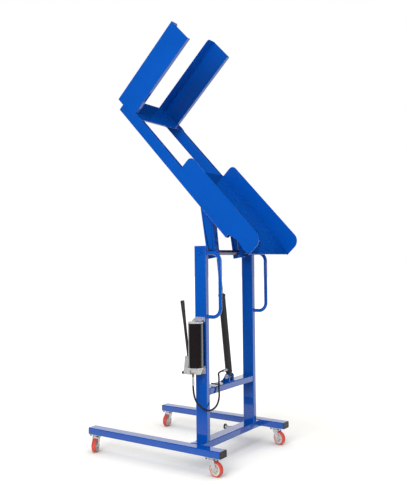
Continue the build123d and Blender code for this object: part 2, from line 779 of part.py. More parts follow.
# Hand pump: cast block with a round seat, a tapered body and the lever's yoke
with BuildPart() as pump_block:
    with BuildSketch(Plane(origin=(PUMP_X, PUMP_Y, SEAT_BOTTOM))):
        Circle(SEAT_R)
    extrude(amount=SEAT_TOP - SEAT_BOTTOM)
    with BuildSketch(Plane(origin=(PUMP_X, PUMP_Y, SEAT_BOTTOM))):
        Circle(BODY_R)
    with BuildSketch(Plane(origin=(PUMP_X + FOOT_OFFSET, PUMP_Y, BLOCK_BOTTOM))):
        Circle(FOOT_R)
    loft()
    # Pad against the bracket, and the boss of the hose's fitting
    with BuildSketch(Plane(origin=(PUMP_X, (PUMP_Y + BRACKET_FRONT_Y) / 2, PAD_BOTTOM))):
        Rectangle(2 * PAD_HALF, BRACKET_FRONT_Y - PUMP_Y)
    extrude(amount=SEAT_TOP - PAD_BOTTOM)
    with BuildSketch(Plane(origin=(FITTING_X, FITTING_Y, PORT_BOSS_BOTTOM))):
        Circle(PORT_BOSS_R)
    extrude(amount=SEAT_BOTTOM - PORT_BOSS_BOTTOM)
    # Yoke: a floor, two cheeks and the lever's pin across them
    with BuildSketch(side_plane(LEVER_Y)):
        with BuildLine():
            Polyline(
                (YOKE_ROOT, YOKE_FLOOR),
                (CHEEK_END, YOKE_FLOOR),
                (CHEEK_END, YOKE_BOTTOM),
                (YOKE_ROOT, YOKE_BOTTOM),
                close=True,
            )
        make_face()
    extrude(amount=CHEEK_INNER + CHEEK_T, both=True)
    for side_name, side in SIDES:
        with BuildSketch(side_plane(LEVER_Y + side * (CHEEK_INNER + CHEEK_T / 2))):
            with BuildLine():
                Polyline(
                    (YOKE_ROOT, YOKE_BOTTOM),
                    (CHEEK_END, YOKE_BOTTOM),
                    (CHEEK_END, LEVER_PIN[1]),
                    (LEVER_PIN[0] - HUB_R, CHEEK_TOP),
                    (CHEEK_ROOT, CHEEK_TOP),
                    (CHEEK_ROOT, LEVER_PIN[1]),
                    (YOKE_ROOT, PAD_BOTTOM),
                    close=True,
                )
            make_face()
        extrude(amount=CHEEK_T / 2, both=True)
    with BuildSketch(side_plane(LEVER_Y)):
        with Locations(LEVER_PIN):
            Circle(LEVER_PIN_R)
    extrude(amount=CHEEK_INNER + CHEEK_T + BRACKET_T, both=True)
    # Barrel of the plunger, and the seat of the release valve
    with BuildSketch(end_plane(BARREL_BOSS_END, LEVER_Y, PLUNGER_Z)):
        Circle(BARREL_BOSS_R)
    extrude(amount=PLUNGER_INNER - BARREL_BOSS_END)
    with BuildSketch(end_plane(BARREL_BOSS_END, LEVER_Y, PLUNGER_Z)):
        Circle(PLUNGER_R + RUNNING_GAP)
    extrude(amount=PLUNGER_INNER - BARREL_BOSS_END, mode=Mode.SUBTRACT)
    with BuildSketch(end_plane(CHEEK_END, LEVER_Y, KNOB_Z)):
        Circle(KNOB_STEM_R + RUNNING_GAP)
    extrude(amount=KNOB_STEM_DEPTH + KNOB_STEM, mode=Mode.SUBTRACT)
save(pump_block.part, "pump_block")

with BuildPart() as tank:
    with BuildSketch(Plane(origin=(PUMP_X, PUMP_Y, SEAT_TOP))):
        Circle(TANK_R)
        Circle(TANK_R - TANK_WALL, mode=Mode.SUBTRACT)
    extrude(amount=TANK_TOP - SEAT_TOP)
save(tank.part, "pump_tank")

with BuildPart() as tank_cap:
    with BuildSketch(Plane(origin=(PUMP_X, PUMP_Y, TANK_TOP))):
        Circle(SEAT_R)
    extrude(amount=CAP_T)
    fillet(tank_cap.edges().sort_by(Axis.Z)[-1], CAP_ROUND)
save(tank_cap.part, "pump_tank_cap")

# Hand pump: lever in its socket, plunger and release knob
LEVER_LINE = Vector(-sin(LEVER_LEAN), 0, cos(LEVER_LEAN))
LEVER_SEAT = Vector(LEVER_SEAT_X, LEVER_Y, SOCKET_TOP)


def lever_plane(distance):
    """Sketch plane at right angles to the lever, at a distance from the socket's top."""
    return Plane(origin=LEVER_SEAT + LEVER_LINE * distance, x_dir=(0, 1, 0), z_dir=LEVER_LINE)


with BuildPart() as socket:
    with BuildSketch(side_plane(LEVER_Y)):
        with BuildLine():
            Polyline(
                (LEVER_PIN[0] - HUB_R, LEVER_PIN[1]),
                (LEVER_PIN[0] + HUB_R, LEVER_PIN[1]),
                (LEVER_PIN[0] + SOCKET_HALF, SOCKET_SHOULDER),
                (SOCKET_TOP_X + SOCKET_HALF, SOCKET_TOP),
                (SOCKET_TOP_X - SOCKET_HALF, SOCKET_TOP),
                (LEVER_PIN[0] - SOCKET_HALF, SOCKET_SHOULDER),
                close=True,
            )
        make_face()
        with Locations(LEVER_PIN):
            Circle(HUB_R)
            Circle(LEVER_PIN_R + RUNNING_GAP, mode=Mode.SUBTRACT)
    extrude(amount=HUB_HALF, both=True)
    with BuildSketch(lever_plane(-LEVER_SEAT_DEPTH)):
        Circle(LEVER_THIN_R)
    extrude(amount=2 * LEVER_SEAT_DEPTH, mode=Mode.SUBTRACT)
save(socket.part, "lever_socket")

with BuildPart() as lever:
    with BuildSketch(lever_plane(-LEVER_SEAT_DEPTH)):
        Circle(LEVER_THIN_R)
    extrude(amount=2 * LEVER_SEAT_DEPTH)
    with BuildSketch(lever_plane(LEVER_SEAT_DEPTH)):
        Circle(LEVER_THIN_R)
    with BuildSketch(lever_plane(LEVER_WAIST)):
        Circle(LEVER_WAIST_R)
    loft()
    with BuildSketch(lever_plane(LEVER_WAIST)):
        Circle(LEVER_WAIST_R)
    with BuildSketch(lever_plane(LEVER_END)):
        Circle(LEVER_THICK_R)
    loft()
    fillet(lever.edges().sort_by(Axis.Z)[-1], LEVER_ROUND)
save(lever.part, "pump_lever")

with BuildPart() as plunger:
    with BuildSketch(end_plane(PLUNGER_TIP, LEVER_Y, PLUNGER_Z)):
        Circle(PLUNGER_R)
    extrude(amount=PLUNGER_INNER - PLUNGER_TIP - PLUNGER_REST_GAP)
save(plunger.part, "pump_plunger")

with BuildPart() as knob:
    with BuildSketch(end_plane(CHEEK_END - KNOB_STEM, LEVER_Y, KNOB_Z)):
        Circle(KNOB_STEM_R)
    extrude(amount=KNOB_STEM + KNOB_STEM_DEPTH)
    with BuildSketch(end_plane(CHEEK_END - KNOB_STEM - KNOB_LENGTH, LEVER_Y, KNOB_Z)):
        RegularPolygon(KNOB_R, 2 * HEX)
    extrude(amount=KNOB_LENGTH)
save(knob.part, "pump_release_knob")

with BuildPart() as fitting:
    with BuildSketch(Plane(origin=(FITTING_X, FITTING_Y, FITTING_BOTTOM))):
        RegularPolygon(FITTING_R, HEX)
    extrude(amount=PORT_BOSS_BOTTOM - FITTING_BOTTOM)
save(fitting.part, "pump_hose_fitting")

with BuildPart() as ferrule:
    with BuildSketch(Plane(origin=(FITTING_X, FITTING_Y, PUMP_FERRULE_BOTTOM))):
        Circle(FERRULE_R)
    extrude(amount=FITTING_BOTTOM - PUMP_FERRULE_BOTTOM)
save(ferrule.part, "pump_hose_ferrule")

# Hose: straight runs joined by tangent arcs
hose_corners = [Vector(*point) for point in HOSE_POINTS]
hose_radii = []
for before, corner, after in zip(hose_corners, hose_corners[1:], hose_corners[2:]):
    run_in = corner - before
    run_out = after - corner
    half_turn = radians(run_in.get_angle(run_out)) / 2
    hose_radii.append(HOSE_SHARE * min(run_in.length, run_out.length) / tan(half_turn))
print("hose bend radii", [round(radius, 1) for radius in hose_radii])

with BuildPart() as hose:
    with BuildLine() as hose_line:
        hose_path = FilletPolyline(*HOSE_POINTS, radius=hose_radii)
    with BuildSketch(Plane(origin=HOSE_POINTS[0], z_dir=hose_path % 0)):
        Circle(HOSE_R)
    sweep(path=hose_path)
print("hose length", round(hose_path.length, 1))
print("hose volume share", round(hose.part.volume / (pi * HOSE_R**2 * hose_path.length), 4))
save(hose.part, "hydraulic_hose")

tie_at = hose_path @ TIE_SHARE
tie_line = hose_path % TIE_SHARE
print("tie at", [round(value, 1) for value in tie_at])
with BuildPart() as tie:
    with BuildSketch(Plane(origin=tie_at, x_dir=(0, 1, 0), z_dir=tie_line)):
        Circle(HOSE_R + TIE_SLACK + TIE_BAND)
        Circle(HOSE_R + TIE_SLACK, mode=Mode.SUBTRACT)
    extrude(amount=TIE_HALF, both=True)
    with BuildSketch(end_plane(tie_at.X - HOSE_R - TIE_BAND - TIE_TAIL, tie_at.Y, tie_at.Z)):
        Rectangle(TIE_BAND, 2 * TIE_HALF)
    extrude(amount=TIE_TAIL)
save(tie.part, "hose_tie")

# Castors: plates and their nuts on the legs, then the swivelling forks, wheels and tyres
PLATE_BOTTOM = LEG_BOTTOM - CASTOR_PLATE_T
CUP_BOTTOM = PLATE_BOTTOM - CUP_T
with BuildPart() as castor_plates:
    for castor_x, castor_y, swivel in CASTOR_SWIVELS.values():
        with BuildSketch(Plane(origin=(castor_x, castor_y, PLATE_BOTTOM))):
            RectangleRounded(CASTOR_PLATE_X, CASTOR_PLATE_Y, TUBE_RADIUS)
        extrude(amount=CASTOR_PLATE_T)
        with BuildSketch(Plane(origin=(castor_x, castor_y, CUP_BOTTOM))):
            Circle(CUP_R)
        extrude(amount=CUP_T)
        with BuildSketch(Plane(origin=(castor_x, castor_y, FORK_HEAD_BOTTOM - KINGPIN_NUT_GAP))):
            Circle(KINGPIN_R)
        extrude(amount=CUP_BOTTOM - FORK_HEAD_BOTTOM + KINGPIN_NUT_GAP)
        with BuildSketch(Plane(origin=(castor_x, castor_y, FORK_HEAD_BOTTOM - KINGPIN_NUT_GAP))):
            RegularPolygon(KINGPIN_NUT_R, HEX)
        extrude(amount=-KINGPIN_NUT_T)
save(castor_plates.part, "castor_plates")

with BuildPart() as castor_nuts:
    for castor_x, castor_y, swivel in CASTOR_SWIVELS.values():
        with BuildSketch(Plane(origin=(castor_x, castor_y, PLATE_BOTTOM))):
            with GridLocations(CASTOR_BOLT_X, CASTOR_BOLT_Y, 2, 2):
                RegularPolygon(CASTOR_NUT_R, HEX)
        extrude(amount=-CASTOR_NUT_T)
        with BuildSketch(Plane(origin=(castor_x, castor_y, PLATE_BOTTOM - CASTOR_NUT_T))):
            with GridLocations(CASTOR_BOLT_X, CASTOR_BOLT_Y, 2, 2):
                Circle(CASTOR_STUD_R)
        extrude(amount=-CASTOR_STUD_T)
save(castor_nuts.part, "castor_nuts")


def castor_side(castor_x, castor_y, swivel, sideways):
    """Sketch plane of a castor's wheel: local x runs from the kingpin to the axle, local y is Z."""
    facing = Vector(sin(swivel), -cos(swivel), 0)
    origin = Vector(castor_x, castor_y, 0) + facing * sideways
    return Plane(origin=origin, x_dir=(cos(swivel), sin(swivel), 0), z_dir=facing)


AXLE = (CASTOR_TRAIL, WHEEL_R)
for castor_name, (castor_x, castor_y, swivel) in CASTOR_SWIVELS.items():
    with BuildPart() as fork:
        with BuildSketch(Plane(origin=(castor_x, castor_y, FORK_HEAD_BOTTOM))):
            Circle(FORK_HEAD_R)
        extrude(amount=CUP_BOTTOM - SWIVEL_GAP - FORK_HEAD_BOTTOM)
        fillet(fork.edges().sort_by(Axis.Z)[-1], FORK_HEAD_ROUND)
        for side_name, side in SIDES:
            with BuildSketch(castor_side(castor_x, castor_y, swivel, side * (FORK_INNER + FORK_T / 2))):
                with BuildLine():
                    Polyline(
                        (FORK_LEG_BACK, FORK_LEG_TOP),
                        (FORK_LEG_FRONT, FORK_LEG_TOP),
                        (CASTOR_TRAIL + FORK_END_R, WHEEL_R),
                        (CASTOR_TRAIL - FORK_END_R, WHEEL_R),
                        close=True,
                    )
                make_face()
                with Locations(AXLE):
                    Circle(FORK_END_R)
            extrude(amount=FORK_T / 2, both=True)
            with BuildSketch(castor_side(castor_x, castor_y, swivel, side * (FORK_INNER + FORK_T))):
                with Locations(AXLE):
                    RegularPolygon(AXLE_HEAD_R, HEX)
            extrude(amount=side * AXLE_HEAD_T)
        with BuildSketch(castor_side(castor_x, castor_y, swivel, 0)):
            with Locations(AXLE):
                Circle(AXLE_R)
        extrude(amount=FORK_INNER + FORK_T, both=True)
        with BuildSketch(Plane(origin=(castor_x, castor_y, FORK_HEAD_BOTTOM))):
            Circle(KINGPIN_R + RUNNING_GAP)
        extrude(amount=CUP_BOTTOM - FORK_HEAD_BOTTOM, mode=Mode.SUBTRACT)
    save(fork.part, f"castor_fork_{castor_name}")

    with BuildPart() as wheel:
        for outer, inner, half in (
            (TYRE_INNER_R, RIM_INNER_R, RIM_HALF),
            (RIM_INNER_R, HUB_OUTER_R, WEB_HALF),
            (HUB_OUTER_R, AXLE_R + RUNNING_GAP, HUB_HALF_WIDTH),
        ):
            with BuildSketch(castor_side(castor_x, castor_y, swivel, 0)):
                with Locations(AXLE):
                    Circle(outer)
                    Circle(inner, mode=Mode.SUBTRACT)
            extrude(amount=half, both=True)
    save(wheel.part, f"castor_wheel_{castor_name}")

    with BuildPart() as tyre:
        with BuildSketch(castor_side(castor_x, castor_y, swivel, 0)):
            with Locations(AXLE):
                Circle(WHEEL_R)
        extrude(amount=WHEEL_HALF, both=True)
        fillet(tyre.edges().filter_by(GeomType.CIRCLE), TYRE_ROUND)
        with BuildSketch(castor_side(castor_x, castor_y, swivel, 0)):
            with Locations(AXLE):
                Circle(TYRE_INNER_R)
        extrude(amount=2 * WHEEL_HALF, both=True, mode=Mode.SUBTRACT)
    save(tyre.part, f"castor_tyre_{castor_name}")
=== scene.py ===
"""Looks of the wheelie bin tipper: finishes, hose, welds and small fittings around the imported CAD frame."""

import json
import math

import bmesh
import bpy
from mathutils import Matrix, Vector


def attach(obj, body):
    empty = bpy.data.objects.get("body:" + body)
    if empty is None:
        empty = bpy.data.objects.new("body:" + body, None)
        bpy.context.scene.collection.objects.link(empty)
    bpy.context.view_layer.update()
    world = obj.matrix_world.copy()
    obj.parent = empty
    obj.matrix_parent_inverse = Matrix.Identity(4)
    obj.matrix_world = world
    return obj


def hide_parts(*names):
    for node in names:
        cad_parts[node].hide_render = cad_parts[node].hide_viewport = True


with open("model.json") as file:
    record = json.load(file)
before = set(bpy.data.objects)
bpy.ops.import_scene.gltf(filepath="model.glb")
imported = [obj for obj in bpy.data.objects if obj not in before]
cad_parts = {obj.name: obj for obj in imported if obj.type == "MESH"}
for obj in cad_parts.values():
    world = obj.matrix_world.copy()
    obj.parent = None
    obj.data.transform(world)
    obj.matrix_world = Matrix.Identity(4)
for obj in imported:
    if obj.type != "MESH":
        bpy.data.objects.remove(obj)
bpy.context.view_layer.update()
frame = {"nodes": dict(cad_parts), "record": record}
NODES = frame["nodes"]

# Directions, and the near and far sides of the machine
X_AXIS = Vector((1.0, 0.0, 0.0))
Y_AXIS = Vector((0.0, 1.0, 0.0))
Z_AXIS = Vector((0.0, 0.0, 1.0))
SIDES = (-1, 1)

# Camera solved from the photograph: its place and reach in metres, its lens and film in millimetres
CAMERA_PLACE = Vector((2.4899, -3.9006, 1.3891))
CAMERA_YAW = math.radians(124.559)
CAMERA_PITCH = math.radians(0.893)
CAMERA_ROLL = math.radians(-0.6345)
CAMERA_LENS = 46.5
CAMERA_REACH = 200.0
FILM_HEIGHT = 36.0

# Studio: lengths in metres, and slanted directions that divide what reflections see
WHITE = (1.0, 1.0, 1.0, 1.0)
FILL_LIGHT = 0.34
FLOOR_HALF_SIDE = 40.0
LAMP_TARGET = Vector((-0.2, 0.0, 1.4))
ACROSS = (0.0, 1.0, 0.0)
FLOOR_SLANT = (-0.64, 0.77, 0.0)
BACKDROP_SLANT = (0.35, 0.0, 1.0)

# Hose from the pump to the ram, in metres, along the route of the CAD source
HOSE_RADIUS = 0.00625
HOSE_POINTS = [
    (-0.024, -0.390, 0.554),
    (-0.024, -0.390, 0.496),
    (0.006, -0.382, 0.425),
    (0.062, -0.340, 0.379),
    (0.080, -0.268, 0.399),
    (0.066, -0.208, 0.453),
    (0.054, -0.199, 0.519),
    (0.047, -0.182, 0.583),
    (0.0093, -0.138, 0.6088),
    (0.0093, -0.075, 0.6088),
]
HOSE_START = Vector(HOSE_POINTS[0])
HOSE_END = Vector(HOSE_POINTS[-1])

# The sizes below are in millimetres, as in the CAD source, but vectors and the steps of a bead are in metres
MM = 0.001

# Radius of the rounded edges on CAD pieces, and the gap across which their faces are joined first
EDGE_RADII = {
    1.0: (
        "chute_side_near",
        "chute_side_far",
        "chute_floor",
        "tray_channel_near",
        "tray_channel_far",
        "tray_back_plate",
        "leg_end_plugs",
    ),
    3.0: ("cradle_arm_near", "cradle_arm_far"),
    1.2: ("ram_foot_bracket", "ram_lug", "pump_bracket"),
    0.7: ("shaft_end_bolts",),
    0.8: ("castor_plates",),
}
EDGE_ANGLE = math.radians(35)
SEAM_GAP = 0.002

# Stand: the uprights and both cross beams share their place along X, their width and their corners
TUBE_X = -2.5
TUBE_HALF_WIDE = 45.0
TUBE_FRONT = TUBE_X + TUBE_HALF_WIDE
TUBE_BACK = TUBE_X - TUBE_HALF_WIDE
TUBE_CORNER = 5.0
LEG_TOP = 172.0
LEG_MID_Z = 148.5
LEG_HALF_HEIGHT = 23.5
LEG_INNER_Y = 393.0
UPRIGHT_Y = 308.5
UPRIGHT_HALF_THIN = 20.0
UPRIGHT_INNER_Y = UPRIGHT_Y - UPRIGHT_HALF_THIN
MID_BEAM_TOP = 525.0
MID_BEAM_MID_Z = 502.5
MID_BEAM_HALF_HEIGHT = 22.5
HANDLE_ENDS_Z = (1008.0, 1436.0)
HANDLE_RADIUS = 12.5

# Foot bracket of the ram: a plate on the mid beam, and two ears on the plate
RAM_PLATE_HALF_X = 35.0
RAM_PLATE_HALF_Y = 37.0
RAM_PLATE_CORNER = 2.0
RAM_PLATE_TOP = 530.0
RAM_EAR_OUTER_Y = 32.0
RAM_EAR_ENDS_X = (-31.0, 34.0)

# Buffers at the back of the base beam: their place and boss, and the collar and thread of their studs
BUFFER_Y = 165.0
BUFFER_BOSS_RADIUS = 9.0
BUFFER_STUD_X = -127.1
STUD_COLLAR = [(0, 13.0), (1.5, 13.0), (2.0, 12.4)]
THREAD_START = 2.0
THREAD_FLANK = 0.9
THREAD_PITCH = 1.75
THREAD_TURNS = 24
THREAD_ROOT = 6.1
THREAD_CREST = 6.9

# Cradle at rest, measured along its rails and out from the pivot shaft
SHAFT = Vector((0.0, 0.0, 1.441))
SHAFT_RADIUS = 18.0
TIP_ANGLE = math.radians(-46.7)
ALONG = Vector((math.cos(TIP_ANGLE), 0.0, math.sin(TIP_ANGLE)))
OUT = Vector((-math.sin(TIP_ANGLE), 0.0, math.cos(TIP_ANGLE)))
ARM_Y = 170.0
ARM_HALF_THIN = 20.0
ARM_SEAT = -272.4
ARM_SEAT_HALF = 70.4
ARM_SEAT_CORNER = 2.0
RAIL_BACK = 188.0
RAIL_INNER_Y = 230.0
CROSS_TUBE = -275.0
CROSS_TUBE_HALF_LONG = 75.0
CROSS_TUBE_HALF_DEEP = 25.0
FOOT_TUBE = -1272.0
FOOT_TUBE_HALF_LONG = 40.0
FOOT_TUBE_HALF_DEEP = 20.0
PLATE_EDGE = -1095.0
PLATE_EDGE_OUT = 268.0
PLATE_EDGE_ENDS_Y = (232.0, 266.0)

# Long beads on the cradle: start, end, distance across, distance out
CHANNEL_BEAD = (-1308.0, -1182.0, 271.0, 238.0)
LUG_BEAD = (-272.0, -204.0, 34.5, 188.0)

# Stitch beads on the cradle: range of starts, length, distance across, distance out
CRADLE_STITCHES = (
    (range(-545, 10, 108), 34.0, 271.0, 220.0),
    (range(-520, 10, 120), 30.0, 270.0, 271.0),
    (range(-1345, -1120, 95), 34.0, 269.0, 271.0),
)

# Shape of every weld bead
BEAD_RADIUS = 3.0
SHEET_BEAD_RADIUS = 2.2
BEAD_STEP = 1.6 * MM
BEAD_LEAST_STEP = 0.1 * BEAD_STEP
BEAD_SIDES = 8
BEAD_RIPPLE = 0.09
BEAD_TURN = 0.5 * math.pi
BEAD_END = 0.45

# Ram: its foot pin, the direction of its line, and places along that line
RAM_FOOT = Vector((0.014, 0.0, 0.561))
RAM_LINE = Vector((-0.09739, 0.0, 0.99525))
WIPER_AT = 584.8
BASE_WELD_AT = 34.0
BASE_WELD_RADIUS = 24.3

# Pump
PUMP_BRACKET_FACE_Y = -332.4
PUMP_BRACKET_BOLTS = ((-34.0, 988.0), (29.0, 988.0), (28.5, 653.0), (-35.0, 653.0))
TANK_X = -3.0
TANK_Y = -385.0
GASKETS_Z = (675.8, 967.2)
KNOB_FACE = (-101.2, -380.0, 632.0)
KNOB_FLUTE = 0.07
PUMP_CRIMPS = (4.0, 15.0, 26.0, 37.0)
PORT_CRIMPS = (2.5, 11.5, 20.5)

# Outlines of the turned fittings: distance along the axis and radius
BOLT_WASHER = [(0, 9.0), (1.2, 9.0), (1.6, 8.5)]
BOLT_HEAD = [(1.5, 7.5), (6.2, 7.5), (6.9, 6.6)]
GASKET = [(0, 50.7), (0.6, 51.3), (2.2, 51.3), (2.8, 50.7), (2.8, 49.0), (0, 49.0)]
KNOB_GRIP = [(0, 9.2), (1.2, 10.9), (14.6, 10.9), (15.8, 9.9), (16.3, 7.0)]
CRIMP_BAND = [(0, 8.4), (0.9, 9.3), (5.6, 9.3), (6.5, 8.4), (6.5, 7.6), (0, 7.6)]
WIPER_LIP = [(0, 19.0), (2.2, 19.0), (4.2, 15.5), (5.2, 13.6), (5.2, 13.15), (0, 13.15)]
DUST_RING = [(0, 29.0), (0.8, 30.0), (5.2, 29.6), (6.0, 28.6), (6.0, 27.5), (0, 27.5)]
WHEEL_BEARING = [(17.4, 13.5), (18.4, 13.0), (18.4, 9.0), (17.4, 8.5)]

# Castors: where the kingpin is, and which way the fork points
CASTORS = {
    "front_near": (155.0, -433.0, math.radians(-6)),
    "front_far": (155.0, 433.0, math.radians(-15)),
    "back_near": (-868.0, -433.0, math.radians(-65)),
    "back_far": (-868.0, 433.0, math.radians(-83)),
}
CASTOR_TRAIL = 30.0
AXLE_HEIGHT = 48.0
DUST_RING_Z = 109.6
WHEEL_RIBS = 8
RIB_MIDDLE = 24.5
RIB_SIDE = 8.5
RIB_HALF_LONG = 9.0
RIB_HALF_THICK = 1.5
RIB_HALF_DEEP = 4.0
RIB_NARROWING = 0.85

# Fittings are shaded smooth up to this angle between two faces
SHARP_ANGLE = math.radians(40)


def at(x, y, z):
    """A point or a distance in metres, from millimetres."""
    return Vector((x, y, z)) * MM


def offset(axis, length):
    """A distance along a direction in metres, from millimetres."""
    return axis * (length * MM)


def cradle_point(along, y, out):
    """A point of the cradle in metres, from millimetres along its rails, across, and out from the shaft."""
    return SHAFT + (ALONG * along + OUT * out + Y_AXIS * y) * MM


# Node helpers
def new_material(name):
    material = bpy.data.materials.new(name)
    material.use_nodes = True
    tree = material.node_tree
    place = tree.nodes.new("ShaderNodeTexCoord")
    return material, tree, tree.nodes["Principled BSDF"], place.outputs["Object"]


def stretched(tree, place, scale):
    node = tree.nodes.new("ShaderNodeMapping")
    node.inputs["Scale"].default_value = scale
    tree.links.new(place, node.inputs["Vector"])
    return node.outputs["Vector"]


def noise(tree, place, scale, detail=3.0, rough=0.5):
    node = tree.nodes.new("ShaderNodeTexNoise")
    node.inputs["Scale"].default_value = scale
    node.inputs["Detail"].default_value = detail
    node.inputs["Roughness"].default_value = rough
    tree.links.new(place, node.inputs["Vector"])
    return node.outputs["Fac"]


def spread(tree, factor, low, high, start=0.3, stop=0.7):
    """A value that goes from low to high while the factor goes from start to stop."""
    node = tree.nodes.new("ShaderNodeMapRange")
    node.inputs["From Min"].default_value = start
    node.inputs["From Max"].default_value = stop
    node.inputs["To Min"].default_value = low
    node.inputs["To Max"].default_value = high
    tree.links.new(factor, node.inputs["Value"])
    return node.outputs["Result"]


def mixed(tree, factor, first, second):
    """A colour between two, each a plain colour or another node's output."""
    node = tree.nodes.new("ShaderNodeMix")
    node.data_type = "RGBA"
    tree.links.new(factor, node.inputs["Factor"])
    for socket, colour in ((node.inputs["A"], first), (node.inputs["B"], second)):
        if isinstance(colour, tuple):
            socket.default_value = (*colour, 1.0)
        else:
            tree.links.new(colour, socket)
    return node.outputs["Result"]


def combined(tree, operation, first, second):
    node = tree.nodes.new("ShaderNodeMath")
    node.operation = operation
    tree.links.new(first, node.inputs[0])
    tree.links.new(second, node.inputs[1])
    return node.outputs["Value"]


def dot_product(tree, first, second):
    """Dot product of a node's output with a plain direction or another output."""
    node = tree.nodes.new("ShaderNodeVectorMath")
    node.operation = "DOT_PRODUCT"
    tree.links.new(first, node.inputs[0])
    if isinstance(second, tuple):
        node.inputs[1].default_value = second
    else:
        tree.links.new(second, node.inputs[1])
    return node.outputs["Value"]


def rounded_normal(tree, radius):
    node = tree.nodes.new("ShaderNodeBevel")
    node.samples = 4
    node.inputs["Radius"].default_value = radius
    return node.outputs["Normal"]


def edge_mask(tree, normal):
    """About 1 on a rounded edge and 0 on a flat face."""
    geometry = tree.nodes.new("ShaderNodeNewGeometry")
    likeness = dot_product(tree, normal, geometry.outputs["Normal"])
    return spread(tree, likeness, low=1.0, high=0.0, start=0.86, stop=0.99)


def bumped(tree, height, depth, strength, normal=None):
    node = tree.nodes.new("ShaderNodeBump")
    node.inputs["Distance"].default_value = depth
    node.inputs["Strength"].default_value = strength
    tree.links.new(height, node.inputs["Height"])
    if normal is not None:
        tree.links.new(normal, node.inputs["Normal"])
    return node.outputs["Normal"]


# Finishes, with depths and radii in metres
def powder_coat(name, colour, edge_highlight_colour, roughness, specular, coat, coat_ior):
    """Sprayed paint: orange peel, slightly paler edges that are a painted highlight, and a clear gloss."""
    material, tree, shader, place = new_material(name)
    normal = rounded_normal(tree, radius=0.0016)
    cloud = spread(tree, noise(tree, place, scale=5.0), low=0.0, high=1.0)
    deep = tuple(0.9 * value for value in colour)
    body = mixed(tree, cloud, deep, colour)
    # Paler colour along the rounded edges: a painted highlight.
    edge_highlight = spread(tree, edge_mask(tree, normal), low=0.0, high=0.35, start=0.0, stop=1.0)
    tree.links.new(mixed(tree, edge_highlight, body, edge_highlight_colour), shader.inputs["Base Color"])
    smear = noise(tree, place, scale=22.0, detail=5.0)
    sheen = spread(tree, smear, low=roughness - 0.05, high=roughness + 0.08)
    tree.links.new(sheen, shader.inputs["Roughness"])
    peel = noise(tree, place, scale=420.0, detail=2.0)
    tree.links.new(bumped(tree, peel, depth=0.0002, strength=0.1, normal=normal), shader.inputs["Normal"])
    shader.inputs["Specular IOR Level"].default_value = specular
    shader.inputs["Coat Weight"].default_value = coat
    shader.inputs["Coat IOR"].default_value = coat_ior
    shader.inputs["Coat Roughness"].default_value = 0.06
    return material


def plated(name, dark, light, roughness, grain, depth, metallic=1.0):
    """Plated or machined metal with a fine grain."""
    material, tree, shader, place = new_material(name)
    normal = rounded_normal(tree, radius=0.0008)
    patch = spread(tree, noise(tree, place, scale=45.0, detail=4.0), low=0.0, high=1.0)
    tree.links.new(mixed(tree, patch, dark, light), shader.inputs["Base Color"])
    fine = noise(tree, stretched(tree, place, grain), scale=260.0, detail=4.0, rough=0.6)
    sheen = spread(tree, fine, low=roughness - 0.08, high=roughness + 0.1)
    tree.links.new(sheen, shader.inputs["Roughness"])
    tree.links.new(bumped(tree, fine, depth, strength=0.3, normal=normal), shader.inputs["Normal"])
    shader.inputs["Metallic"].default_value = metallic
    return material


def moulded(name, dark, light, roughness, pore, depth):
    """Plastic or rubber with a fine moulded texture."""
    material, tree, shader, place = new_material(name)
    normal = rounded_normal(tree, radius=0.0012)
    patch = spread(tree, noise(tree, place, scale=30.0, detail=5.0), low=0.0, high=1.0)
    tree.links.new(mixed(tree, patch, dark, light), shader.inputs["Base Color"])
    smear = noise(tree, place, scale=60.0, detail=4.0)
    sheen = spread(tree, smear, low=roughness - 0.07, high=roughness + 0.08)
    tree.links.new(sheen, shader.inputs["Roughness"])
    pores = noise(tree, place, scale=pore, detail=3.0)
    tree.links.new(bumped(tree, pores, depth, strength=0.35, normal=normal), shader.inputs["Normal"])
    return material


def wrapped_rubber(name, dark, light):
    """Smooth rubber cover of a hose, with the faint imprint of its wrapping."""
    material, tree, shader, place = new_material(name)
    patch = spread(tree, noise(tree, place, scale=40.0, detail=4.0), low=0.0, high=1.0)
    tree.links.new(mixed(tree, patch, dark, light), shader.inputs["Base Color"])
    wrap = tree.nodes.new("ShaderNodeTexWave")
    wrap.wave_type = "BANDS"
    wrap.bands_direction = "DIAGONAL"
    wrap.inputs["Scale"].default_value = 220.0
    wrap.inputs["Distortion"].default_value = 0.6
    tree.links.new(place, wrap.inputs["Vector"])
    sheen = spread(tree, patch, low=0.34, high=0.5, start=0.0, stop=1.0)
    tree.links.new(sheen, shader.inputs["Roughness"])
    imprint = bumped(tree, wrap.outputs["Fac"], depth=0.00012, strength=0.3)
    tree.links.new(imprint, shader.inputs["Normal"])
    return material


